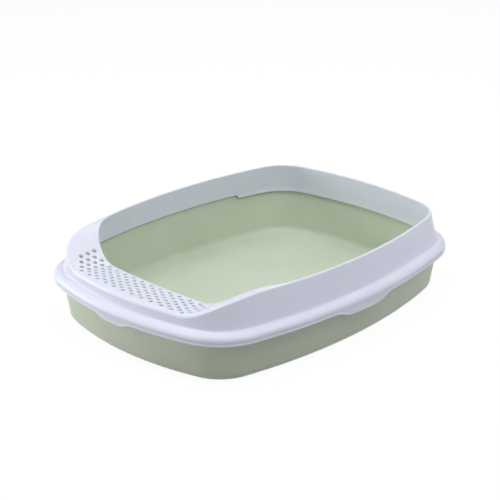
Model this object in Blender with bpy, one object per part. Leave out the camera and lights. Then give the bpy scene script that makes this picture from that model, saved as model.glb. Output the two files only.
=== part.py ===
"""Cat litter box: a shallow litter tray and the raised rim that lifts off it.

Metres, +Z up. The origin is under the middle of the box, on the surface it stands on.
The low entry sill faces -Y and the plain rear wall faces +Y.
"""
import math

import bmesh
import bpy
from mathutils import Vector

# Plan outline along the rim's widest line: two side arcs, two end arcs and four corner arcs
LENGTH = 0.500
WIDTH = 0.385
SIDE_RADIUS = 0.742
FRONT_RADIUS = 0.418
REAR_RADIUS = 0.535
CORNER_RADIUS = 0.0787

# The gap between the rim and the tray it sits on
CLEARANCE = 0.0003

# Rim: the shelf's height above the floor, and how far the other edges lie above or below it
SHELF_TOP = 0.0690
RIM_RISE = 0.0384
BEAD_DROP = 0.0088
SKIRT_DROP = 0.0136

# Rim: walls, and how far in from the outline each face stands
RIM_WALL = 0.0025
SHELF_WALL = 0.0020
SHELF_WIDTH = 0.0123
WALL_TOP_INSET = 0.0212
LIP_WIDTH = 0.0028
LIP_ROUND = 0.0013
LIP_DROP = 0.0030
LIP_EDGE_ROUND = 0.0009
SKIRT_WALL = 0.0021
SKIRT_SET_BACK = 0.0004
SKIRT_LIP = 0.0011
SHELF_STEPS = 4

# Rim: the finger tabs that hang from the middle of each side and end
SIDE_TAB_LENGTH = 0.108
SIDE_TAB_FLAT = 0.050
SIDE_TAB_DROP = 0.0075
END_TAB_LENGTH = 0.068
END_TAB_FLAT = 0.028
END_TAB_DROP = 0.0054

# Rim: the inner skirt that hangs inside the tray, deep round the rear and shallow elsewhere
INNER_SKIRT_WALL = 0.0017
INNER_SKIRT_PLAY = 0.0018
INNER_SKIRT_RISE = 0.0046
SHALLOW_SKIRT = 0.0004
DEEP_SKIRT = 0.0062
DEEP_SKIRT_START_SHARE = 0.552
DEEP_SKIRT_STEP = 0.004

# Rim: the entry sill, and the curved fall of the side walls down to it
SILL_INSET = 0.0740
SILL_FACE_INSET = 0.0140
SILL_RISE = 0.0148
SILL_FALL = 0.0064
SILL_ROUND = 0.0070
SILL_DROP = 0.0050
SILL_EDGE_RADIUS = 0.900
SILL_CORNER_RADIUS = 0.085
SILL_BLEND = 0.006
FALL_START_SHARE = 0.478
FALL_END_SHARE = 0.904
FALL_LEAN_SHARE = 0.20
SILL_SHARES = (0.35, 0.70)
WALL_FACE_SHARES = (0.15, 0.35, 0.55, 0.78)

# Rim: the litter holes in the sill, in staggered rows that follow its inner edge
HOLE_DIAMETER = 0.0055
HOLE_PITCH = 0.01644
HOLE_ROW_PITCH = 0.0055
HOLE_MARGIN = 0.0070
HOLE_ROW_RADIUS = 0.850
HOLE_ROW_COUNTS = (15, 14, 15, 14, 15, 14, 13, 12)
HOLE_SIDES = 8
HOLE_DEPTH = 0.030

# Tray
TRAY_WALL = 0.0024
TRAY_FLOOR = 0.0025
TRAY_TOP_INSET = 0.0095
TRAY_DRAFT = math.radians(8.4)
TRAY_FOOT_ROUND = 0.013
TRAY_FLOOR_ROUND = 0.011
FLANGE_WALL = 0.0018
FLANGE_GAP = 0.0012
FLANGE_LAND = 0.0010
TRAY_EDGE_RISE = 0.0010
ROUND_STEPS = 3

# Stations round the outline: how many lie on each stretch
TAB_FLAT_STEPS = 2
TAB_EASE_STEPS = 4
SIDE_STEPS = 3
SHORT_STEPS = 2
CORNER_STEPS = 8

RIM_COLOUR = "E4E7F7"
TRAY_COLOUR = "C5D0BA"
RIM_ROUGHNESS = 0.38
TRAY_ROUGHNESS = 0.36
SHARP_ANGLE = math.radians(35)

# Heights and places that follow from the sizes above
RIM_TOP = SHELF_TOP + RIM_RISE
BEAD_HEIGHT = SHELF_TOP - BEAD_DROP
SKIRT_BOTTOM = SHELF_TOP - SKIRT_DROP
SILL_OUTER_HEIGHT = SHELF_TOP + SILL_RISE
SILL_INNER_HEIGHT = SILL_OUTER_HEIGHT - SILL_FALL
DEEP_SKIRT_START = LENGTH / 2 * DEEP_SKIRT_START_SHARE
FALL_START = WIDTH / 2 * FALL_START_SHARE
FALL_END = WIDTH / 2 * FALL_END_SHARE

# The shelf over the tray's flange, and what sits under it
SHELF_UNDERSIDE = SHELF_TOP - SHELF_WALL
SKIRT_ROOT = SHELF_UNDERSIDE + INNER_SKIRT_RISE
FLANGE_TOP = SHELF_UNDERSIDE - CLEARANCE
TRAY_EDGE_INSET = SHELF_WIDTH + FLANGE_LAND
WALL_ROOT_INSET = TRAY_EDGE_INSET + INNER_SKIRT_PLAY + INNER_SKIRT_WALL
LIP_INSET = WALL_TOP_INSET + LIP_WIDTH


def mix(a, b, share):
    """The value or place between a and b."""
    return a + (b - a) * share


def ease(value, start, end):
    """0 before start, 1 after end, and a smooth S between them."""
    share = min(max((value - start) / (end - start), 0), 1)
    return share * share * (3 - 2 * share)


class Outline:
    """A quarter of a plan outline, from the middle of a side (+X) to the middle of an end (+Y).

    Its side, corner and end arcs are tangent, so a point is named by its normal's angle.
    """

    def __init__(self, half_width, half_length, side_radius, end_radius, corner_radius):
        side = Vector((half_width - side_radius, 0))
        end = Vector((0, half_length - end_radius))
        apart = (end - side).length
        along = (end - side) / apart
        reach = side_radius - corner_radius
        step = (reach**2 - (end_radius - corner_radius)**2 + apart**2) / (2 * apart)
        rise = math.sqrt(reach**2 - step**2)
        corner = side + along * step + Vector((-along.y, along.x)) * rise
        self.side_end = math.atan2(corner.y - side.y, corner.x - side.x)
        self.corner_end = math.atan2(corner.y - end.y, corner.x - end.x)
        self.arcs = (
            (side, side_radius, 0, self.side_end),
            (corner, corner_radius, self.side_end, self.corner_end),
            (end, end_radius, self.corner_end, math.pi / 2),
        )

    def point(self, angle):
        for centre, radius, _, stop in self.arcs:
            if angle <= stop:
                break
        return centre + Vector((math.cos(angle), math.sin(angle))) * radius

    def length_to(self, angle):
        return sum(r * (min(angle, stop) - start) for _, r, start, stop in self.arcs if angle > start)

    def angle_at(self, length):
        for _, radius, start, stop in self.arcs:
            angle = start + length / radius
            if angle <= stop:
                break
            length -= radius * (stop - start)
        return min(angle, math.pi / 2)


FRONT = Outline(WIDTH / 2, LENGTH / 2, SIDE_RADIUS, FRONT_RADIUS, CORNER_RADIUS)
REAR = Outline(WIDTH / 2, LENGTH / 2, SIDE_RADIUS, REAR_RADIUS, CORNER_RADIUS)
OPENING = Outline(
    WIDTH / 2 - LIP_INSET,
    LENGTH / 2 - SILL_INSET,
    SIDE_RADIUS - LIP_INSET,
    SILL_EDGE_RADIUS,
    SILL_CORNER_RADIUS,
)


class Station:
    """One place on the outline: its point, its outward normal, and how the rim is shaped there."""

    def __init__(self, outline, angle, side_sign):
        self.end_sign = -1 if outline is FRONT else 1
        self.signs = Vector((side_sign, self.end_sign))
        self.point = outline.point(angle) * self.signs
        self.normal = Vector((math.cos(angle), math.sin(angle))) * self.signs
        self.angle = angle
        self.on_end = angle > math.pi / 4

    def at(self, inset, height):
        """The place that stands in from the outline by inset, at a height."""
        flat = self.point - self.normal * inset
        return Vector((flat.x, flat.y, height))

    def tab_drop(self):
        """How far the finger tab hangs below the rest of the skirt here."""
        if self.on_end:
            return END_TAB_DROP * (1 - ease(abs(self.point.x), END_TAB_FLAT / 2, END_TAB_LENGTH / 2))
        return SIDE_TAB_DROP * (1 - ease(abs(self.point.y), SIDE_TAB_FLAT / 2, SIDE_TAB_LENGTH / 2))

    def inner_skirt_depth(self):
        along = (self.point.y - DEEP_SKIRT_START) / DEEP_SKIRT_STEP
        return mix(SHALLOW_SKIRT, DEEP_SKIRT, min(max(along, 0), 1))

    def inner_edge(self):
        """Where the opening's edge stands: the lip's inner side, or the sill's inner edge."""
        start = OPENING.side_end
        if self.end_sign > 0 or self.angle <= start:
            return self.point - self.normal * LIP_INSET
        travelled = FRONT.length_to(self.angle) - FRONT.length_to(start)
        whole = FRONT.length_to(math.pi / 2) - FRONT.length_to(start)
        sill_start = OPENING.length_to(start)
        sill_whole = OPENING.length_to(math.pi / 2) - sill_start
        angle = OPENING.angle_at(sill_start + sill_whole * travelled / whole)
        return OPENING.point(angle) * self.signs


def sill_height(y):
    """The sloping sill's height, which falls from its outer edge to its inner edge."""
    outer = -(LENGTH / 2 - SILL_FACE_INSET)
    inner = -(LENGTH / 2 - SILL_INSET)
    return mix(SILL_OUTER_HEIGHT, SILL_INNER_HEIGHT, (y - outer) / (inner - outer))


def top_height(place):
    """The height of the rim's top edge over a place in plan."""
    if place.y > 0:
        return RIM_TOP
    across = abs(place.x) + FALL_LEAN_SHARE * (place.y + LENGTH / 2 - SILL_FACE_INSET)
    return mix(sill_height(place.y), RIM_TOP, ease(across, FALL_START, FALL_END))


def on_top(flat, below=0):
    """The place on the rim's top face over a place in plan, or a length below it."""
    return Vector((flat.x, flat.y, top_height(flat) - below))


def rounded(start, corner, end):
    """Three places that round off the corner between start and end."""
    return [start, mix(mix(start, corner, 1 / 2), mix(corner, end, 1 / 2), 1 / 2), end]


def quarter_angles(stops):
    """Normal angles from 0, with a count of equal steps up to each stop."""
    angles = [0.0]
    for stop, count in sorted(stops):
        start = angles[-1]
        angles += [mix(start, stop, i / count) for i in range(1, count + 1)]
    return angles


def side_angle(distance):
    return math.asin(distance / SIDE_RADIUS)


def end_stops(outline, end_radius):
    """The stops from a corner's start to the middle of an end."""
    return [
        (outline.corner_end, CORNER_STEPS),
        (math.acos(END_TAB_LENGTH / 2 / end_radius), SIDE_STEPS),
        (math.acos(END_TAB_FLAT / 2 / end_radius), TAB_EASE_STEPS),
        (math.pi / 2, TAB_FLAT_STEPS),
    ]


def make_stations():
    """Stations all the way round, from the middle of the rear by the right side."""
    tab_stops = [
        (side_angle(SIDE_TAB_FLAT / 2), TAB_FLAT_STEPS),
        (side_angle(SIDE_TAB_LENGTH / 2), TAB_EASE_STEPS),
    ]
    rear_stops = tab_stops + [
        (side_angle(DEEP_SKIRT_START), SIDE_STEPS),
        (side_angle(DEEP_SKIRT_START + DEEP_SKIRT_STEP), 1),
        (REAR.side_end, SHORT_STEPS),
    ] + end_stops(REAR, REAR_RADIUS)
    front_stops = tab_stops + [
        (OPENING.side_end, SIDE_STEPS),
        (FRONT.side_end, SIDE_STEPS),
    ] + end_stops(FRONT, FRONT_RADIUS)
    rear = quarter_angles(rear_stops)
    front = quarter_angles(front_stops)
    right = [Station(REAR, angle, 1) for angle in reversed(rear)]
    right += [Station(FRONT, angle, 1) for angle in front[1:]]
    left = [Station(FRONT, angle, -1) for angle in reversed(front[:-1])]
    left += [Station(REAR, angle, -1) for angle in rear[1:-1]]
    return right + left


def shelf_curve(width, height, base, steps):
    """The bead's quarter ellipse: (inset, height) pairs from its widest line up to the shelf."""
    pairs = []
    for i in range(steps + 1):
        turn = math.pi / 2 * i / steps
        pairs.append((SHELF_WIDTH - width * math.cos(turn), base + height * math.sin(turn)))
    return pairs


def rim_section(station):
    """The rim's closed section at a station, from the skirt's foot up its outside and down its inside."""
    foot = SKIRT_BOTTOM - station.tab_drop()
    inner_face = SKIRT_SET_BACK + SKIRT_WALL
    outer = [
        station.at(inner_face, foot),
        station.at(SKIRT_SET_BACK / 2, foot),
        station.at(0, foot + SKIRT_LIP),
        station.at(SKIRT_SET_BACK, foot + 2 * SKIRT_LIP),
    ]
    shelf = shelf_curve(SHELF_WIDTH, SHELF_TOP - BEAD_HEIGHT, BEAD_HEIGHT, SHELF_STEPS)
    outer += [station.at(inset, height) for inset, height in shelf]

    crease = outer[-1]
    wall_edge = station.point - station.normal * WALL_TOP_INSET
    fall = (top_height(wall_edge) - SILL_OUTER_HEIGHT) / (RIM_TOP - SILL_OUTER_HEIGHT)
    fall = min(max(fall, 0), 1)
    edge_flat = station.point - station.normal * mix(SILL_FACE_INSET, WALL_TOP_INSET, fall)
    edge = on_top(edge_flat)
    opening = station.inner_edge()
    inner = on_top(opening)
    wall_down = (crease - edge).normalized()
    wall_head = edge + wall_down * mix(SILL_DROP, LIP_DROP, fall)
    reach = (opening - edge_flat).length
    flat_start = mix(edge_flat, opening, mix(SILL_ROUND, LIP_ROUND, fall) / reach)
    flat_end = mix(opening, edge_flat, LIP_EDGE_ROUND / reach)
    top = rounded(wall_head, edge, on_top(flat_start))
    top += [on_top(mix(flat_start, flat_end, share)) for share in SILL_SHARES]
    top += rounded(on_top(flat_end), inner, on_top(opening, LIP_EDGE_ROUND))

    # Below the lip the inner face runs straight down the wall, or back under the sill
    root = station.at(WALL_ROOT_INSET, SKIRT_ROOT)
    under_end = mix(edge_flat, opening, min(RIM_WALL / reach, 1))
    under_sill = [on_top(mix(opening, under_end, share), RIM_WALL) for share in (0, *SILL_SHARES, 1)]
    wall_line = [mix(top[-1], root, share) for share in WALL_FACE_SHARES]
    sill_share = ease((inner - edge).length, LIP_WIDTH, LIP_WIDTH + SILL_BLEND)
    inside = [mix(plain, sill, sill_share) for plain, sill in zip(wall_line, under_sill)]
    inside.append(root)

    depth = station.inner_skirt_depth()
    skirt_foot = SKIRT_ROOT - depth
    skirt_face = WALL_ROOT_INSET - INNER_SKIRT_WALL
    lean = depth * math.tan(TRAY_DRAFT)
    inside += [
        station.at(WALL_ROOT_INSET + lean, skirt_foot),
        station.at(skirt_face + lean, skirt_foot),
        station.at(skirt_face, SKIRT_ROOT),
    ]
    under_width = SHELF_WIDTH - inner_face
    under = shelf_curve(under_width, SHELF_UNDERSIDE - BEAD_HEIGHT, BEAD_HEIGHT, SHELF_STEPS)
    inside += [station.at(inset, height) for inset, height in reversed(under)]
    return outer + top + inside


def tray_inset(height):
    """How far in from the outline the tray's drafted outer wall stands at a height."""
    return TRAY_TOP_INSET + (FLANGE_TOP - height) * math.tan(TRAY_DRAFT)


def tray_rings():
    """The tray's rings, as (inset, height), from its underside up its outside and down its inside."""
    rings = []
    foot = tray_inset(TRAY_FOOT_ROUND)
    for i in range(ROUND_STEPS + 1):
        turn = math.pi / 2 * i / ROUND_STEPS
        inset = foot + TRAY_FOOT_ROUND * (1 - math.sin(turn))
        rings.append((inset, TRAY_FOOT_ROUND * (1 - math.cos(turn))))

    # The flange's outer face follows the underside of the rim's shelf, one gap away
    flange_width = SHELF_WIDTH - SKIRT_SET_BACK - SKIRT_WALL - FLANGE_GAP
    flange_rise = FLANGE_TOP - BEAD_HEIGHT
    under = shelf_curve(flange_width - FLANGE_WALL, flange_rise - FLANGE_WALL, BEAD_HEIGHT, SHELF_STEPS)
    inside_flange = [pair for pair in under if pair[0] < tray_inset(pair[1])]
    rings.append((tray_inset(under[-1][1]), under[-1][1]))
    rings += reversed(inside_flange)
    rings += shelf_curve(flange_width, flange_rise, BEAD_HEIGHT, SHELF_STEPS)

    rings.append((TRAY_EDGE_INSET, FLANGE_TOP + TRAY_EDGE_RISE))
    floor_round_height = TRAY_FLOOR + TRAY_FLOOR_ROUND
    inner_foot = tray_inset(floor_round_height) + TRAY_WALL
    for i in range(ROUND_STEPS + 1):
        turn = math.pi / 2 * i / ROUND_STEPS
        inset = inner_foot + TRAY_FLOOR_ROUND * (1 - math.cos(turn))
        rings.append((inset, floor_round_height - TRAY_FLOOR_ROUND * math.sin(turn)))
    return rings


def first_ring(bm, points):
    """A closed ring of vertices and edges through points."""
    verts = [bm.verts.new(point) for point in points]
    for a, b in zip(verts, verts[1:] + verts[:1]):
        bm.edges.new((a, b))
    return verts


def next_ring(bm, verts, points):
    """Extrude a closed ring to new points, and give the new ring."""
    edges = [bm.edges.get((a, b)) for a, b in zip(verts, verts[1:] + verts[:1])]
    made = bmesh.ops.extrude_edge_only(bm, edges=edges)["geom"]
    copies = {tuple(v.co): v for v in made if isinstance(v, bmesh.types.BMVert)}
    ring = [copies[tuple(v.co)] for v in verts]
    for vert, point in zip(ring, points):
        vert.co = point
    return ring


def hex_colour(text):
    """A linear RGBA colour from an sRGB hex value."""
    linear = []
    for i in (0, 2, 4):
        value = int(text[i:i + 2], 16) / 255
        linear.append(value / 12.92 if value <= 0.04045 else ((value + 0.055) / 1.055)**2.4)
    return (*linear, 1)


def plastic(name, colour, roughness):
    """A moulded plastic."""
    material = bpy.data.materials.new(name)
    material.use_nodes = True
    shader = material.node_tree.nodes["Principled BSDF"]
    shader.inputs["Base Color"].default_value = hex_colour(colour)
    shader.inputs["Roughness"].default_value = roughness
    shader.inputs["Metallic"].default_value = 0
    return material


def finish(bm, name, material):
    """Turn a bmesh into a smooth-shaded object."""
    bmesh.ops.recalc_face_normals(bm, faces=bm.faces)
    mesh = bpy.data.meshes.new(name)
    bm.to_mesh(mesh)
    bm.free()
    mesh.shade_smooth()
    mesh.set_sharp_from_angle(angle=SHARP_ANGLE)
    if material:
        mesh.materials.append(material)
    part = bpy.data.objects.new(name, mesh)
    bpy.context.scene.collection.objects.link(part)
    return part


def make_tray(stations):
    """The litter tray: floor, drafted wall and the flange that carries the rim."""
    bm = bmesh.new()
    rings = tray_rings()
    ring = first_ring(bm, [s.at(*rings[0]) for s in stations])
    bm.faces.new(ring)
    for inset, height in rings[1:]:
        ring = next_ring(bm, ring, [s.at(inset, height) for s in stations])
    bm.faces.new(ring)
    return finish(bm, "tray", plastic("tray_plastic", TRAY_COLOUR, TRAY_ROUGHNESS))


def hole_places():
    """The centres of the litter holes, row by row from the sill's inner edge."""
    places = []
    first_row = LENGTH / 2 - SILL_INSET + HOLE_MARGIN
    for row, count in enumerate(HOLE_ROW_COUNTS):
        for i in range(count):
            x = (i - (count - 1) / 2) * HOLE_PITCH
            bow = HOLE_ROW_RADIUS - math.sqrt(HOLE_ROW_RADIUS**2 - x**2)
            places.append(Vector((x, bow - first_row - row * HOLE_ROW_PITCH)))
    return places


def make_hole_cutter():
    """All the litter holes as upright prisms in one object."""
    bm = bmesh.new()
    for place in hole_places():
        made = bmesh.ops.create_cone(
            bm,
            cap_ends=True,
            segments=HOLE_SIDES,
            radius1=HOLE_DIAMETER / 2,
            radius2=HOLE_DIAMETER / 2,
            depth=HOLE_DEPTH,
        )
        bmesh.ops.translate(bm, verts=made["verts"], vec=(place.x, place.y, top_height(place)))
    cutter = finish(bm, "litter_hole_cutter", None)
    cutter.hide_render = True
    cutter.display_type = "WIRE"
    return cutter


def make_rim(stations):
    """The lift-off rim: skirt with tabs, bead and shelf, raised wall and perforated sill."""
    bm = bmesh.new()
    sections = [rim_section(s) for s in stations]
    rings = list(zip(*sections))
    ring = first_ring(bm, rings[0])
    for points in rings[1:]:
        ring = next_ring(bm, ring, points)
    next_ring(bm, ring, rings[0])
    bmesh.ops.remove_doubles(bm, verts=bm.verts, dist=CLEARANCE / 10)
    rim = finish(bm, "rim_frame", plastic("rim_plastic", RIM_COLOUR, RIM_ROUGHNESS))
    holes = rim.modifiers.new("Litter holes", "BOOLEAN")
    holes.operation = "DIFFERENCE"
    holes.solver = "EXACT"
    holes.object = make_hole_cutter()
    return rim


def main():
    for old in list(bpy.data.objects):
        bpy.data.objects.remove(old)
    stations = make_stations()
    make_tray(stations)
    make_rim(stations)


main()
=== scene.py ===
import math

import bmesh
import bpy
from mathutils import Matrix, Vector


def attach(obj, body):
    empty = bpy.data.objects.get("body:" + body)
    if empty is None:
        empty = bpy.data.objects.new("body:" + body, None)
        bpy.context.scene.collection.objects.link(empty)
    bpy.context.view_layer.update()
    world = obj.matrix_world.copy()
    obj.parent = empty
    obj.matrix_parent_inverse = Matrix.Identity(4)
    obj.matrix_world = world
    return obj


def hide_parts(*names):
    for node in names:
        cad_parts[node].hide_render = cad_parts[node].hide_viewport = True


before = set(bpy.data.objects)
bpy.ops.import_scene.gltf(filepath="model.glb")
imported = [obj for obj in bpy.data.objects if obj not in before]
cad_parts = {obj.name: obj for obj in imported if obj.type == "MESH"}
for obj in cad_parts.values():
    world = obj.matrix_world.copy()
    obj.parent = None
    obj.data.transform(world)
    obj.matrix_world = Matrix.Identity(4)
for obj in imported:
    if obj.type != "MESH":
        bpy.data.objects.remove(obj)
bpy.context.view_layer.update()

# Cat litter box: the finished tray and rim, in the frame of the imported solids.
# Lengths are in metres. The low entry sill faces -Y and the plain rear wall faces +Y.

# Plan outline along the rim's widest line: side, corner and end arcs
LENGTH = 0.500
WIDTH = 0.385
SIDE_RADIUS = 0.742
FRONT_RADIUS = 0.418
REAR_RADIUS = 0.535
CORNER_RADIUS = 0.0787

# Rim heights above the floor. The bead is 1.2 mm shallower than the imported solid's
RIM_TOP = 0.1074
SHELF_TOP = 0.0690
BEAD_HEIGHT = 0.0614
SKIRT_BOTTOM = 0.0554

# Rim walls, and how far in from the outline each face stands
RIM_WALL = 0.0025
SHELF_WALL = 0.0020
SHELF_WIDTH = 0.0123
WALL_TOP_INSET = 0.0212
LIP_WIDTH = 0.0028
LIP_ROUND = 0.0013
LIP_DROP = 0.0030
LIP_EDGE_ROUND = 0.0009
SKIRT_WALL = 0.0021
SKIRT_SET_BACK = 0.0004
SKIRT_LIP = 0.0011
SKIRT_LIP_EASE = 0.0018
SKIRT_EDGE_ROUND = 0.0005
BEAD_UNDERCUT = 0.0060
CREASE_ROUND = 0.0024

# Finger tabs in the middle of each side and end
SIDE_TAB_LENGTH = 0.108
SIDE_TAB_FLAT = 0.050
SIDE_TAB_DROP = 0.0075
END_TAB_LENGTH = 0.068
END_TAB_FLAT = 0.028
END_TAB_DROP = 0.0054

# Inner skirt that hangs inside the tray
INNER_SKIRT_WALL = 0.0017
INNER_SKIRT_PLAY = 0.0018
INNER_SKIRT_RISE = 0.0046
INNER_SKIRT_ROUND = 0.0004
SHALLOW_SKIRT = 0.0004
DEEP_SKIRT = 0.0062
DEEP_SKIRT_START = 0.138
DEEP_SKIRT_STEP = 0.004

# Entry sill, and the curved fall of the side walls down to it
SILL_INSET = 0.0740
SILL_FACE_INSET = 0.0140
SILL_OUTER_HEIGHT = 0.0838
SILL_INNER_HEIGHT = 0.0774
SILL_ROUND = 0.0070
SILL_DROP = 0.0050
SILL_EDGE_RADIUS = 0.900
SILL_CORNER_RADIUS = 0.085
SILL_BLEND = 0.006
SILL_LIP_ROUND = 0.0007
FALL_START = 0.092
FALL_END = 0.174
FALL_LEAN_SHARE = 0.20

# Litter holes
HOLE_DIAMETER = 0.0055
HOLE_PITCH = 0.01644
HOLE_ROW_PITCH = 0.0055
HOLE_MARGIN = 0.0070
HOLE_ROW_RADIUS = 0.850
HOLE_ROW_COUNTS = (15, 14, 15, 14, 15, 14, 13, 12)
HOLE_SIDES = 20
HOLE_ROUND = 0.00045
HOLE_ROUND_STEPS = 3
HOLE_ROUND_START = math.radians(20)
HOLE_REACH = 0.006
HOLE_RUN_OUT = 0.0005

# Tray and its flange, and the clearance between it and the rim
TRAY_WALL = 0.0024
TRAY_FLOOR = 0.0025
TRAY_TOP_INSET = 0.0095
TRAY_DRAFT = math.radians(8.4)
TRAY_FOOT_ROUND = 0.013
TRAY_FLOOR_ROUND = 0.011
TRAY_EDGE_ROUND = 0.0004
FLANGE_WALL = 0.0018
FLANGE_GAP = 0.0012
FLANGE_LAND = 0.0010
TRAY_EDGE_RISE = 0.0010
CLEARANCE = 0.0003

# How finely each stretch is divided
TAB_FLAT_STEPS = 4
TAB_EASE_STEPS = 10
SIDE_STEPS = 6
END_STEPS = 26
STEP_STEPS = 2
CORNER_STEPS = 26
FINE_ROUND_STEPS = 4
BEAD_STEPS = 14
ROUND_STEPS = 12
FACE_STEPS = 5
SILL_STEPS = 22

# Edges that turn by more than the angle stay sharp, and vertices closer than the distance join
SHARP_ANGLE = math.radians(40)
WELD_DISTANCE = 0.000001

# Plastics: pale and deep pigment, roughness, and how much light the walls let in and how deep
TRAY_PALE = "CDD8C4"
TRAY_DEEP = "C5D0BA"
TRAY_ROUGHNESS = 0.36
TRAY_GLOW = 0.05
RIM_PALE = "E6E9F9"
RIM_DEEP = "E2E5F6"
RIM_ROUGHNESS = 0.38
RIM_GLOW = 0.50
POLYPROPYLENE_IOR = 1.49
GLOW_RADIUS = (1.0, 0.9, 0.8)
GLOW_DEPTH = 0.003

# Plastics' textures: noise scales per metre, and depths of bumps in metres
CLOUD_SCALE = 16
WAVE_SCALE = 22
WAVE_STRENGTH = 0.5
WAVE_DEPTH = 0.0004
GRAIN_SCALE = 2600
GRAIN_STRENGTH = 0.35
GRAIN_DEPTH = 0.00006
POLISH_SCALE = 35
POLISH_LOW = 0.3
POLISH_HIGH = 0.7
POLISH_DRIFT = 0.03

# Studio: the paper floor, the room's own light, and the place that the lamps aim at
FLOOR_SIZE = 16.0
FLOOR_DROP = 0.00005
FLOOR_PAPER = "BCBCBC"
FLOOR_LIFT_SHARE = 0.85
FLOOR_WHITE = 1.11
FIBRE_SCALE = 400
FIBRE_STRENGTH = 0.05
FIBRE_DEPTH = 0.0002
ROOM_LIGHT = 0.01
AIM = (0, 0, 0)

# Softboxes: name, azimuth and elevation in degrees, and power in watts
LAMP_DISTANCE = 2.0
LAMP_SIZE = 1.3
LAMPS = (
    ("low_left_softbox", 300, 8, 30.2),
    ("low_right_softbox", 150, 8, 7.0),
    ("front_softbox", 0, 18, 5.0),
    ("right_softbox", 90, 48, 8.0),
    ("rear_softbox", 210, 48, 9.6),
    ("high_left_softbox", 330, 68, 12.8),
    ("high_right_softbox", 90, 68, 15.2),
)

# Camera: fitted to the photo's outlines, its place in metres, its lens and sensor in millimetres
CAMERA_AZIMUTH = math.radians(43.726)
CAMERA_ELEVATION = math.radians(22.341)
CAMERA_PLACE = (1.188077, -1.249423, 0.779336)
CAMERA_LENS = 102.097
CAMERA_SENSOR = 36

# Heights and insets that follow from the sizes above
SHELF_UNDERSIDE = SHELF_TOP - SHELF_WALL
SKIRT_ROOT = SHELF_UNDERSIDE + INNER_SKIRT_RISE
FLANGE_TOP = SHELF_UNDERSIDE - CLEARANCE
TRAY_EDGE_INSET = SHELF_WIDTH + FLANGE_LAND
WALL_ROOT_INSET = TRAY_EDGE_INSET + INNER_SKIRT_PLAY + INNER_SKIRT_WALL
LIP_INSET = WALL_TOP_INSET + LIP_WIDTH
SKIRT_INSIDE = SKIRT_SET_BACK + SKIRT_WALL
DOWN = Vector((0, 0, -1))


def mix(a, b, share):
    """The value or place between a and b."""
    return a + (b - a) * share


def ease(value, start, end):
    """0 before start, 1 after end, and a smooth S between them."""
    share = min(max((value - start) / (end - start), 0), 1)
    return share * share * (3 - 2 * share)


def shares(count):
    """Even shares from 0 to 1, both ends included."""
    return [i / count for i in range(count + 1)]


def bend(start, corner, end, count):
    """A smooth curve from start to end that rounds off a corner."""
    return [mix(mix(start, corner, t), mix(corner, end, t), t) for t in shares(count)]


class Outline:
    """A quarter of a plan outline, from the middle of a side (+X) to the middle of an end (+Y).

    Its side, corner and end arcs are tangent, so a point is named by its normal's angle.
    """

    def __init__(self, half_width, half_length, side_radius, end_radius, corner_radius):
        side = Vector((half_width - side_radius, 0))
        end = Vector((0, half_length - end_radius))
        apart = (end - side).length
        along = (end - side) / apart
        reach = side_radius - corner_radius
        step = (reach**2 - (end_radius - corner_radius)**2 + apart**2) / (2 * apart)
        rise = math.sqrt(reach**2 - step**2)
        corner = side + along * step + Vector((-along.y, along.x)) * rise
        self.side_end = math.atan2(corner.y - side.y, corner.x - side.x)
        self.corner_end = math.atan2(corner.y - end.y, corner.x - end.x)
        self.arcs = (
            (side, side_radius, 0, self.side_end),
            (corner, corner_radius, self.side_end, self.corner_end),
            (end, end_radius, self.corner_end, math.pi / 2),
        )

    def point(self, angle):
        """The place on the outline where the normal has an angle."""
        for centre, radius, _, stop in self.arcs:
            if angle <= stop:
                break
        return centre + Vector((math.cos(angle), math.sin(angle))) * radius

    def length_to(self, angle):
        """The length of the outline from the middle of the side to an angle."""
        total = 0
        for _, radius, start, stop in self.arcs:
            if angle > start:
                total += radius * (min(angle, stop) - start)
        return total

    def angle_at(self, length):
        """The normal's angle at a length along the outline."""
        for _, radius, start, stop in self.arcs:
            angle = start + length / radius
            if angle <= stop:
                break
            length -= radius * (stop - start)
        return min(angle, math.pi / 2)


FRONT = Outline(WIDTH / 2, LENGTH / 2, SIDE_RADIUS, FRONT_RADIUS, CORNER_RADIUS)
REAR = Outline(WIDTH / 2, LENGTH / 2, SIDE_RADIUS, REAR_RADIUS, CORNER_RADIUS)
OPENING = Outline(
    WIDTH / 2 - LIP_INSET,
    LENGTH / 2 - SILL_INSET,
    SIDE_RADIUS - LIP_INSET,
    SILL_EDGE_RADIUS,
    SILL_CORNER_RADIUS,
)


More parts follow.
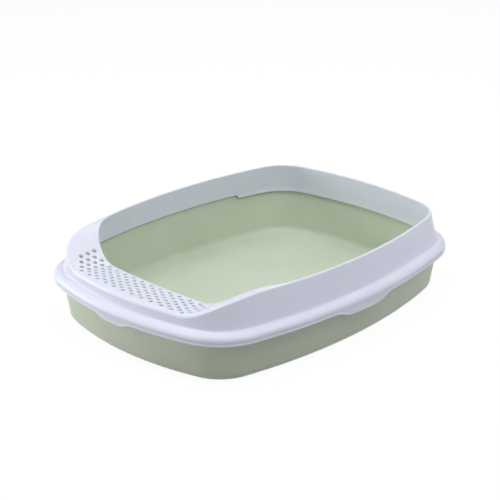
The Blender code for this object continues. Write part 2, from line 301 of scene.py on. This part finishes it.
class Station:
    """One place on the outline: its point, its outward normal, and how the rim is shaped there."""

    def __init__(self, outline, angle, side_sign):
        self.end_sign = -1 if outline is FRONT else 1
        self.signs = Vector((side_sign, self.end_sign))
        self.point = outline.point(angle) * self.signs
        self.normal = Vector((math.cos(angle), math.sin(angle))) * self.signs
        self.angle = angle
        self.on_end = angle > math.pi / 4

    def at(self, inset, height):
        """The place that stands in from the outline by inset, at a height."""
        flat = self.point - self.normal * inset
        return Vector((flat.x, flat.y, height))

    def tab_drop(self):
        """How far the finger tab hangs below the rest of the skirt here."""
        if self.on_end:
            return END_TAB_DROP * (1 - ease(abs(self.point.x), END_TAB_FLAT / 2, END_TAB_LENGTH / 2))
        return SIDE_TAB_DROP * (1 - ease(abs(self.point.y), SIDE_TAB_FLAT / 2, SIDE_TAB_LENGTH / 2))

    def inner_skirt_depth(self):
        """How deep the inner skirt hangs here: shallow in front, deep round the rear."""
        along = (self.point.y - DEEP_SKIRT_START) / DEEP_SKIRT_STEP
        return mix(SHALLOW_SKIRT, DEEP_SKIRT, min(max(along, 0), 1))

    def inner_edge(self):
        """Where the opening's edge stands: the lip's inner side, or the sill's inner edge."""
        start = OPENING.side_end
        if self.end_sign > 0 or self.angle <= start:
            return self.point - self.normal * LIP_INSET
        travelled = FRONT.length_to(self.angle) - FRONT.length_to(start)
        whole = FRONT.length_to(math.pi / 2) - FRONT.length_to(start)
        sill_start = OPENING.length_to(start)
        sill_whole = OPENING.length_to(math.pi / 2) - sill_start
        angle = OPENING.angle_at(sill_start + sill_whole * travelled / whole)
        return OPENING.point(angle) * self.signs


def sill_height(y):
    """The sloping sill's height, which falls from its outer edge to its inner edge."""
    outer = -(LENGTH / 2 - SILL_FACE_INSET)
    inner = -(LENGTH / 2 - SILL_INSET)
    return mix(SILL_OUTER_HEIGHT, SILL_INNER_HEIGHT, (y - outer) / (inner - outer))


def top_height(place):
    """The height of the rim's top edge over a place in plan."""
    if place.y > 0:
        return RIM_TOP
    across = abs(place.x) + FALL_LEAN_SHARE * (place.y + LENGTH / 2 - SILL_FACE_INSET)
    return mix(sill_height(place.y), RIM_TOP, ease(across, FALL_START, FALL_END))


def on_top(flat, below=0):
    """The place on the rim's top face over a place in plan, or a length below it."""
    return Vector((flat.x, flat.y, top_height(flat) - below))


def quarter_angles(stops):
    """Normal angles from 0, with a count of equal steps up to each stop."""
    angles = [0.0]
    for stop, count in stops:
        start = angles[-1]
        angles += [mix(start, stop, share) for share in shares(count)[1:]]
    return angles


def side_angle(distance):
    """The normal's angle on the side arc, at a distance from the middle of the side."""
    return math.asin(distance / SIDE_RADIUS)


def end_stops(outline, end_radius):
    """The stops from a corner's start to the middle of an end."""
    return [
        (outline.corner_end, CORNER_STEPS),
        (math.acos(END_TAB_LENGTH / 2 / end_radius), END_STEPS),
        (math.acos(END_TAB_FLAT / 2 / end_radius), TAB_EASE_STEPS),
        (math.pi / 2, TAB_FLAT_STEPS),
    ]


def make_stations():
    """Stations all the way round, from the middle of the rear by the right side."""
    tab_stops = [
        (side_angle(SIDE_TAB_FLAT / 2), TAB_FLAT_STEPS),
        (side_angle(SIDE_TAB_LENGTH / 2), TAB_EASE_STEPS),
    ]
    rear_stops = tab_stops + [
        (side_angle(DEEP_SKIRT_START), SIDE_STEPS),
        (side_angle(DEEP_SKIRT_START + DEEP_SKIRT_STEP), STEP_STEPS),
        (REAR.side_end, SIDE_STEPS),
    ] + end_stops(REAR, REAR_RADIUS)
    front_stops = tab_stops + [
        (OPENING.side_end, SIDE_STEPS),
        (FRONT.side_end, SIDE_STEPS),
    ] + end_stops(FRONT, FRONT_RADIUS)
    rear = quarter_angles(rear_stops)
    front = quarter_angles(front_stops)
    right = [Station(REAR, angle, 1) for angle in reversed(rear)]
    right += [Station(FRONT, angle, 1) for angle in front[1:]]
    left = [Station(FRONT, angle, -1) for angle in reversed(front[:-1])]
    left += [Station(REAR, angle, -1) for angle in rear[1:-1]]
    return right + left


def shelf_curve(width, height, base, count):
    """A quarter ellipse, as (inset, height) pairs, from its widest line up to the shelf."""
    turns = [math.pi / 2 * share for share in shares(count)]
    return [(SHELF_WIDTH - width * math.cos(t), base + height * math.sin(t)) for t in turns]


def skirt_outside(station, foot):
    """The skirt's outer side: its rounded foot, the thin lip over it, and the swell to the bead."""
    places = []
    for share in shares(FINE_ROUND_STEPS):
        turn = math.pi / 2 * share
        inset = SKIRT_SET_BACK * (1 - math.sin(turn))
        places.append(station.at(inset, foot + SKIRT_LIP * (1 - math.cos(turn))))
    lip_top = foot + SKIRT_LIP
    for share in shares(FINE_ROUND_STEPS)[1:]:
        inset = SKIRT_SET_BACK * ease(share, 0, 1)
        places.append(station.at(inset, lip_top + SKIRT_LIP_EASE * share))
    swell_start = max(BEAD_HEIGHT - BEAD_UNDERCUT, lip_top + SKIRT_LIP_EASE)
    for share in shares(FINE_ROUND_STEPS)[:-1]:
        inset = SKIRT_SET_BACK * ease(1 - share, 0, 1)
        places.append(station.at(inset, mix(swell_start, BEAD_HEIGHT, share)))
    return places


def inner_skirt(station):
    """The inner skirt's section, from its root down its inside and up its outside."""
    depth = station.inner_skirt_depth()
    skirt_foot = SKIRT_ROOT - depth
    skirt_face = WALL_ROOT_INSET - INNER_SKIRT_WALL
    lean = depth * math.tan(TRAY_DRAFT)
    rounding = min(INNER_SKIRT_ROUND, depth / 2)
    inner_corner = station.at(WALL_ROOT_INSET + lean, skirt_foot)
    outer_corner = station.at(skirt_face + lean, skirt_foot)
    inward = (inner_corner - outer_corner).normalized()
    section = [station.at(WALL_ROOT_INSET, SKIRT_ROOT)]
    section += bend(
        inner_corner - DOWN * rounding,
        inner_corner,
        inner_corner - inward * rounding,
        FINE_ROUND_STEPS,
    )
    section += [outer_corner, station.at(skirt_face, SKIRT_ROOT)]
    return section


def under_shelf(station):
    """The shelf's underside, from the inner skirt out to the skirt."""
    curve = shelf_curve(
        SHELF_WIDTH - SKIRT_INSIDE,
        SHELF_UNDERSIDE - BEAD_HEIGHT,
        BEAD_HEIGHT,
        BEAD_STEPS,
    )
    return [station.at(inset, height) for inset, height in reversed(curve)]


def rim_section(station):
    """The rim's closed section, from the skirt's foot up its outside and down its inside."""
    foot = SKIRT_BOTTOM - station.tab_drop()
    inner_foot = station.at(SKIRT_INSIDE, foot)
    section = bend(
        inner_foot - DOWN * SKIRT_EDGE_ROUND,
        inner_foot,
        station.at(SKIRT_INSIDE - SKIRT_EDGE_ROUND, foot),
        FINE_ROUND_STEPS,
    )
    section += skirt_outside(station, foot)
    bead = shelf_curve(SHELF_WIDTH, SHELF_TOP - BEAD_HEIGHT, BEAD_HEIGHT, BEAD_STEPS)
    bead = [pair for pair in bead if pair[0] < SHELF_WIDTH - CREASE_ROUND]
    section += [station.at(inset, height) for inset, height in bead]

    crease = station.at(SHELF_WIDTH, SHELF_TOP)
    wall_edge = station.point - station.normal * WALL_TOP_INSET
    fall = (top_height(wall_edge) - SILL_OUTER_HEIGHT) / (RIM_TOP - SILL_OUTER_HEIGHT)
    fall = min(max(fall, 0), 1)
    edge_flat = station.point - station.normal * mix(SILL_FACE_INSET, WALL_TOP_INSET, fall)
    edge = on_top(edge_flat)
    opening = station.inner_edge()
    inner = on_top(opening)
    up_wall = (edge - crease).normalized()

    wall_foot = crease + up_wall * CREASE_ROUND
    wall_head = edge - up_wall * mix(SILL_DROP, LIP_DROP, fall)
    section += bend(section[-1], crease, wall_foot, FINE_ROUND_STEPS)[1:]
    section += [mix(wall_foot, wall_head, share) for share in shares(FACE_STEPS)[1:-1]]

    reach = (opening - edge_flat).length
    flat_start = mix(edge_flat, opening, mix(SILL_ROUND, LIP_ROUND, fall) / reach)
    flat_end = mix(opening, edge_flat, LIP_EDGE_ROUND / reach)
    section += bend(wall_head, edge, on_top(flat_start), ROUND_STEPS)
    section += [on_top(mix(flat_start, flat_end, share)) for share in shares(SILL_STEPS)[1:-1]]
    section += bend(on_top(flat_end), inner, inner + DOWN * LIP_EDGE_ROUND, ROUND_STEPS)

    # Below the lip the inner face runs straight down the wall, or back under the sill
    root = station.at(WALL_ROOT_INSET, SKIRT_ROOT)
    under_start = mix(opening, edge_flat, SILL_LIP_ROUND / reach)
    under_end = mix(edge_flat, opening, min(RIM_WALL / reach, 1))
    under = bend(
        inner + DOWN * (RIM_WALL - SILL_LIP_ROUND),
        inner + DOWN * RIM_WALL,
        on_top(under_start, RIM_WALL),
        FINE_ROUND_STEPS,
    )
    under += [on_top(mix(under_start, under_end, share), RIM_WALL) for share in shares(SILL_STEPS)[1:]]
    under += [mix(under[-1], root, share) for share in shares(FACE_STEPS)[1:-1]]
    sill_share = ease((inner - edge).length, LIP_WIDTH, LIP_WIDTH + SILL_BLEND)
    wall_line = [mix(section[-1], root, share) for share in shares(len(under) + 1)[1:-1]]
    section += [mix(plain, sill, sill_share) for plain, sill in zip(wall_line, under)]
    return section + inner_skirt(station) + under_shelf(station)


def tray_inset(height):
    """How far in from the outline the tray's drafted outer wall stands at a height."""
    return TRAY_TOP_INSET + (FLANGE_TOP - height) * math.tan(TRAY_DRAFT)


def tray_rings():
    """The tray's (inset, height) rings, from its underside up its outside and down its inside."""
    rings = []
    foot = tray_inset(TRAY_FOOT_ROUND)
    for share in shares(ROUND_STEPS):
        turn = math.pi / 2 * share
        inset = foot + TRAY_FOOT_ROUND * (1 - math.sin(turn))
        rings.append((inset, TRAY_FOOT_ROUND * (1 - math.cos(turn))))

    # The flange follows the shelf's underside: its top a clearance below, its foot a gap inside
    flange_width = SHELF_WIDTH - SKIRT_SET_BACK - SKIRT_WALL - FLANGE_GAP
    flange_rise = FLANGE_TOP - BEAD_HEIGHT
    under_width = flange_width - FLANGE_WALL
    under = shelf_curve(under_width, flange_rise - FLANGE_WALL, BEAD_HEIGHT, BEAD_STEPS)
    inside_flange = [pair for pair in under if pair[0] < tray_inset(pair[1])]
    wall_top = (tray_inset(under[-1][1]), under[-1][1])
    wall_base = rings[-1]
    for share in shares(FACE_STEPS)[1:]:
        rings.append(tuple(mix(a, b, share) for a, b in zip(wall_base, wall_top)))
    rings += reversed(inside_flange)
    rings += shelf_curve(flange_width, flange_rise, BEAD_HEIGHT, BEAD_STEPS)

    floor_round_height = TRAY_FLOOR + TRAY_FLOOR_ROUND
    inner_foot = tray_inset(floor_round_height) + TRAY_WALL
    edge = Vector((TRAY_EDGE_INSET, FLANGE_TOP + TRAY_EDGE_RISE))
    wall_foot = Vector((inner_foot, floor_round_height))
    down_wall = (wall_foot - edge).normalized()
    before = edge - Vector((TRAY_EDGE_ROUND, 0))
    rounded = bend(before, edge, edge + down_wall * TRAY_EDGE_ROUND, FINE_ROUND_STEPS)
    rings += [tuple(place) for place in rounded[1:]]
    rings += [tuple(mix(rounded[-1], wall_foot, share)) for share in shares(FACE_STEPS)[1:-1]]
    for share in shares(ROUND_STEPS):
        turn = math.pi / 2 * share
        inset = inner_foot + TRAY_FLOOR_ROUND * (1 - math.cos(turn))
        rings.append((inset, floor_round_height - TRAY_FLOOR_ROUND * math.sin(turn)))
    return rings


def first_ring(bm, points):
    """A closed ring of vertices and edges through points."""
    verts = [bm.verts.new(point) for point in points]
    for a, b in zip(verts, verts[1:] + verts[:1]):
        bm.edges.new((a, b))
    return verts


def next_ring(bm, verts, points):
    """Extrude a closed ring to new points, and give the new ring."""
    edges = [bm.edges.get((a, b)) for a, b in zip(verts, verts[1:] + verts[:1])]
    made = bmesh.ops.extrude_edge_only(bm, edges=edges)["geom"]
    copies = {tuple(v.co): v for v in made if isinstance(v, bmesh.types.BMVert)}
    ring = [copies[tuple(v.co)] for v in verts]
    for vert, point in zip(ring, points):
        vert.co = point
    return ring


def make_object(bm, name):
    """Turn a bmesh into a smooth-shaded object."""
    bmesh.ops.recalc_face_normals(bm, faces=bm.faces)
    mesh = bpy.data.meshes.new(name)
    bm.to_mesh(mesh)
    bm.free()
    mesh.shade_smooth()
    mesh.set_sharp_from_angle(angle=SHARP_ANGLE)
    part = bpy.data.objects.new(name, mesh)
    bpy.context.scene.collection.objects.link(part)
    return part


def make_tray(stations):
    """The litter tray: floor, drafted wall and the flange that carries the rim."""
    bm = bmesh.new()
    rings = tray_rings()
    ring = first_ring(bm, [s.at(*rings[0]) for s in stations])
    bm.faces.new(ring)
    for inset, height in rings[1:]:
        ring = next_ring(bm, ring, [s.at(inset, height) for s in stations])
    bm.faces.new(ring)
    return make_object(bm, "tray_moulding")


def hole_places():
    """The centres of the litter holes, row by row from the sill's inner edge."""
    places = []
    first_row = LENGTH / 2 - SILL_INSET + HOLE_MARGIN
    for row, count in enumerate(HOLE_ROW_COUNTS):
        for i in range(count):
            x = (i - (count - 1) / 2) * HOLE_PITCH
            bow = HOLE_ROW_RADIUS - math.sqrt(HOLE_ROW_RADIUS**2 - x**2)
            places.append(Vector((x, bow - first_row - row * HOLE_ROW_PITCH)))
    return places


def hole_profile():
    """One hole's (radius, depth) pairs, from above the sill, round its mouth and down its wall."""
    radius = HOLE_DIAMETER / 2
    pairs = []
    for share in shares(HOLE_ROUND_STEPS):
        turn = mix(HOLE_ROUND_START, math.pi / 2, share)
        pairs.append((radius + HOLE_ROUND * (1 - math.sin(turn)), HOLE_ROUND * (1 - math.cos(turn))))
    mouth_radius, mouth_depth = pairs[0]
    run_out = (mouth_radius + HOLE_RUN_OUT, mouth_depth - HOLE_RUN_OUT * math.tan(HOLE_ROUND_START))
    return [run_out] + pairs + [(radius, HOLE_REACH)]


def make_hole_cutter():
    """All the litter holes, each with a rounded mouth that follows the sill's own slope."""
    bm = bmesh.new()
    pairs = hole_profile()
    turns = [2 * math.pi * i / HOLE_SIDES for i in range(HOLE_SIDES)]
    for place in hole_places():
        rings = []
        for radius, depth in pairs:
            flats = [place + Vector((math.cos(t), math.sin(t))) * radius for t in turns]
            rings.append([on_top(flat, depth) for flat in flats])
        ring = first_ring(bm, rings[0])
        bm.faces.new(ring)
        for points in rings[1:]:
            ring = next_ring(bm, ring, points)
        bm.faces.new(ring)
    return make_object(bm, "litter_hole_cutter")


def make_rim(stations):
    """The lift-off rim: skirt with tabs, bead and shelf, raised wall and perforated sill."""
    bm = bmesh.new()
    rings = list(zip(*[rim_section(s) for s in stations]))
    ring = first_ring(bm, rings[0])
    for points in rings[1:]:
        ring = next_ring(bm, ring, points)
    next_ring(bm, ring, rings[0])
    bmesh.ops.remove_doubles(bm, verts=bm.verts, dist=WELD_DISTANCE)
    rim = make_object(bm, "rim_moulding")

    cutter = make_hole_cutter()
    holes = rim.modifiers.new("Litter holes", "BOOLEAN")
    holes.operation = "DIFFERENCE"
    holes.solver = "EXACT"
    holes.object = cutter
    bpy.context.view_layer.update()
    drilled = rim.evaluated_get(bpy.context.evaluated_depsgraph_get())
    cut = bpy.data.meshes.new_from_object(drilled)
    rim.modifiers.clear()
    rim.data = cut
    cut.name = "rim_moulding"
    bpy.data.objects.remove(cutter)
    cut.shade_smooth()
    cut.set_sharp_from_angle(angle=SHARP_ANGLE)
    return rim


def hex_colour(text):
    """A linear RGBA colour from an sRGB hex value, by sRGB's own curve."""
    linear = []
    for i in (0, 2, 4):
        value = int(text[i:i + 2], 16) / 255
        linear.append(value / 12.92 if value <= 0.04045 else ((value + 0.055) / 1.055)**2.4)
    return (*linear, 1)


def add_node(tree, kind, inputs=None, **settings):
    """Add a shader node, set its properties, and set or link its inputs."""
    node = tree.nodes.new(kind)
    for name, value in settings.items():
        setattr(node, name, value)
    for name, value in (inputs or {}).items():
        if isinstance(value, bpy.types.NodeSocket):
            tree.links.new(value, node.inputs[name])
        else:
            node.inputs[name].default_value = value
    return node


def new_material(name):
    """An empty node material and its node tree."""
    material = bpy.data.materials.new(name)
    material.use_nodes = True
    material.node_tree.nodes.clear()
    return material, material.node_tree


def moulded_plastic(name, pale, deep, roughness, glow):
    """Injection-moulded polypropylene with a satin, finely eroded mould texture."""
    material, tree = new_material(name)
    place = add_node(tree, "ShaderNodeTexCoord").outputs["Object"]

    # Pigment never mixes quite evenly: broad, barely seen clouds of tone some 60 mm across
    cloud = add_node(tree, "ShaderNodeTexNoise", {"Vector": place, "Scale": CLOUD_SCALE, "Detail": 3})
    tone = add_node(
        tree,
        "ShaderNodeMix",
        {"Factor": cloud.outputs["Fac"], "A": hex_colour(deep), "B": hex_colour(pale)},
        data_type="RGBA",
    )

    # The mould's spark-eroded skin: grain about 0.4 mm across that softens the highlights
    grain = add_node(tree, "ShaderNodeTexNoise", {"Vector": place, "Scale": GRAIN_SCALE, "Detail": 2})
    # Sink and flow leave the walls very slightly wavy, which bends long reflections
    wave = add_node(tree, "ShaderNodeTexNoise", {"Vector": place, "Scale": WAVE_SCALE, "Detail": 1})
    wave_bump = add_node(
        tree,
        "ShaderNodeBump",
        {"Height": wave.outputs["Fac"], "Strength": WAVE_STRENGTH, "Distance": WAVE_DEPTH},
    )
    grain_bump = add_node(
        tree,
        "ShaderNodeBump",
        {
            "Height": grain.outputs["Fac"],
            "Strength": GRAIN_STRENGTH,
            "Distance": GRAIN_DEPTH,
            "Normal": wave_bump.outputs["Normal"],
        },
    )

    # Handling polishes the skin unevenly, so gloss drifts a little from place to place
    polish = add_node(tree, "ShaderNodeTexNoise", {"Vector": place, "Scale": POLISH_SCALE, "Detail": 4})
    sheen = add_node(
        tree,
        "ShaderNodeMapRange",
        {
            "Value": polish.outputs["Fac"],
            "From Min": POLISH_LOW,
            "From Max": POLISH_HIGH,
            "To Min": roughness - POLISH_DRIFT,
            "To Max": roughness + POLISH_DRIFT,
        },
    )
    shader = add_node(
        tree,
        "ShaderNodeBsdfPrincipled",
        {
            "Base Color": tone.outputs["Result"],
            "Roughness": sheen.outputs["Result"],
            "Normal": grain_bump.outputs["Normal"],
            "IOR": POLYPROPYLENE_IOR,
            "Subsurface Weight": glow,
            "Subsurface Radius": GLOW_RADIUS,
            "Subsurface Scale": GLOW_DEPTH,
        },
    )
    output = add_node(tree, "ShaderNodeOutputMaterial")
    tree.links.new(shader.outputs["BSDF"], output.inputs["Surface"])
    return material


def towards(azimuth, elevation):
    """The unit direction to an azimuth and elevation: azimuth 0 is the sill's side, 90 is +X."""
    flat = math.cos(elevation)
    return Vector((math.sin(azimuth) * flat, -math.cos(azimuth) * flat, math.sin(elevation)))


def add_area_light(name, location, target, size, power):
    """Add a soft square lamp that faces a target."""
    light = bpy.data.lights.new(name, "AREA")
    light.shape = "SQUARE"
    light.size = size
    light.energy = power
    lamp = bpy.data.objects.new(name, light)
    lamp.location = location
    lamp.rotation_euler = (Vector(target) - location).to_track_quat("-Z", "Y").to_euler()
    bpy.context.scene.collection.objects.link(lamp)


def make_floor():
    """A white paper floor that reaches past the view and still takes the object's shadow."""
    material, tree = new_material("studio_paper_matte_white")
    place = add_node(tree, "ShaderNodeTexCoord").outputs["Object"]
    # Paper fibre: a faint mottle, so the shadow's edge has some tooth
    fibre = add_node(tree, "ShaderNodeTexNoise", {"Vector": place, "Scale": FIBRE_SCALE, "Detail": 3})
    fibre_bump = add_node(
        tree,
        "ShaderNodeBump",
        {"Height": fibre.outputs["Fac"], "Strength": FIBRE_STRENGTH, "Distance": FIBRE_DEPTH},
    )
    paper = add_node(
        tree,
        "ShaderNodeBsdfDiffuse",
        {"Color": hex_colour(FLOOR_PAPER), "Normal": fibre_bump.outputs["Normal"]},
    )
    # The camera and the plastics' reflections see the paper mostly as clean white, as if overlit
    white = add_node(tree, "ShaderNodeEmission", {"Color": (1, 1, 1, 1), "Strength": FLOOR_WHITE})
    path = add_node(tree, "ShaderNodeLightPath")
    seen = add_node(
        tree,
        "ShaderNodeMath",
        {0: path.outputs["Is Camera Ray"], 1: path.outputs["Is Glossy Ray"]},
        operation="MAXIMUM",
    )
    lift = add_node(
        tree,
        "ShaderNodeMath",
        {0: seen.outputs[0], 1: FLOOR_LIFT_SHARE},
        operation="MULTIPLY",
    )
    blend = add_node(
        tree,
        "ShaderNodeMixShader",
        {0: lift.outputs[0], 1: paper.outputs[0], 2: white.outputs[0]},
    )
    output = add_node(tree, "ShaderNodeOutputMaterial")
    tree.links.new(blend.outputs[0], output.inputs["Surface"])

    bm = bmesh.new()
    bmesh.ops.create_grid(bm, x_segments=1, y_segments=1, size=FLOOR_SIZE / 2)
    bmesh.ops.translate(bm, verts=bm.verts, vec=(0, 0, -FLOOR_DROP))
    floor = make_object(bm, "studio_floor")
    floor.data.materials.append(material)


def make_world():
    """A trace of even light from all round, where the camera sees plain white."""
    world = bpy.data.worlds.new("studio_room")
    world.use_nodes = True
    tree = world.node_tree
    tree.nodes.clear()
    path = add_node(tree, "ShaderNodeLightPath")
    room = add_node(tree, "ShaderNodeBackground", {"Color": (1, 1, 1, 1), "Strength": ROOM_LIGHT})
    white = add_node(tree, "ShaderNodeBackground", {"Color": (1, 1, 1, 1), "Strength": 1.0})
    blend = add_node(
        tree,
        "ShaderNodeMixShader",
        {0: path.outputs["Is Camera Ray"], 1: room.outputs[0], 2: white.outputs[0]},
    )
    output = add_node(tree, "ShaderNodeOutputWorld")
    tree.links.new(blend.outputs[0], output.inputs["Surface"])
    bpy.context.scene.world = world


def make_camera():
    """The camera that sees the box as the photo does."""
    back = towards(CAMERA_AZIMUTH, CAMERA_ELEVATION)
    right = Vector((math.cos(CAMERA_AZIMUTH), math.sin(CAMERA_AZIMUTH), 0))
    turn = Matrix((right, back.cross(right), back)).transposed().to_4x4()
    lens = bpy.data.cameras.new("photo_camera")
    lens.sensor_width = CAMERA_SENSOR
    lens.lens = CAMERA_LENS
    camera = bpy.data.objects.new("photo_camera", lens)
    camera.matrix_world = Matrix.Translation(CAMERA_PLACE) @ turn
    bpy.context.scene.collection.objects.link(camera)
    bpy.context.scene.camera = camera


def main():
    """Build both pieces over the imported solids, then the studio round them."""
    stations = make_stations()
    tray = make_tray(stations)
    sage = moulded_plastic(
        "sage_polypropylene_moulded",
        TRAY_PALE,
        TRAY_DEEP,
        TRAY_ROUGHNESS,
        TRAY_GLOW,
    )
    tray.data.materials.append(sage)
    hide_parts("tray")
    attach(tray, "tray")

    rim = make_rim(stations)
    rim.data.materials.clear()
    lavender = moulded_plastic(
        "lavender_white_polypropylene_moulded",
        RIM_PALE,
        RIM_DEEP,
        RIM_ROUGHNESS,
        RIM_GLOW,
    )
    rim.data.materials.append(lavender)
    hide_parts("rim_frame")
    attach(rim, "rim")

    make_floor()
    make_world()
    for name, azimuth, elevation, power in LAMPS:
        place = towards(math.radians(azimuth), math.radians(elevation)) * LAMP_DISTANCE
        add_area_light(name, place, AIM, LAMP_SIZE, power)
    make_camera()
    bpy.context.scene.view_settings.view_transform = "Standard"


main()
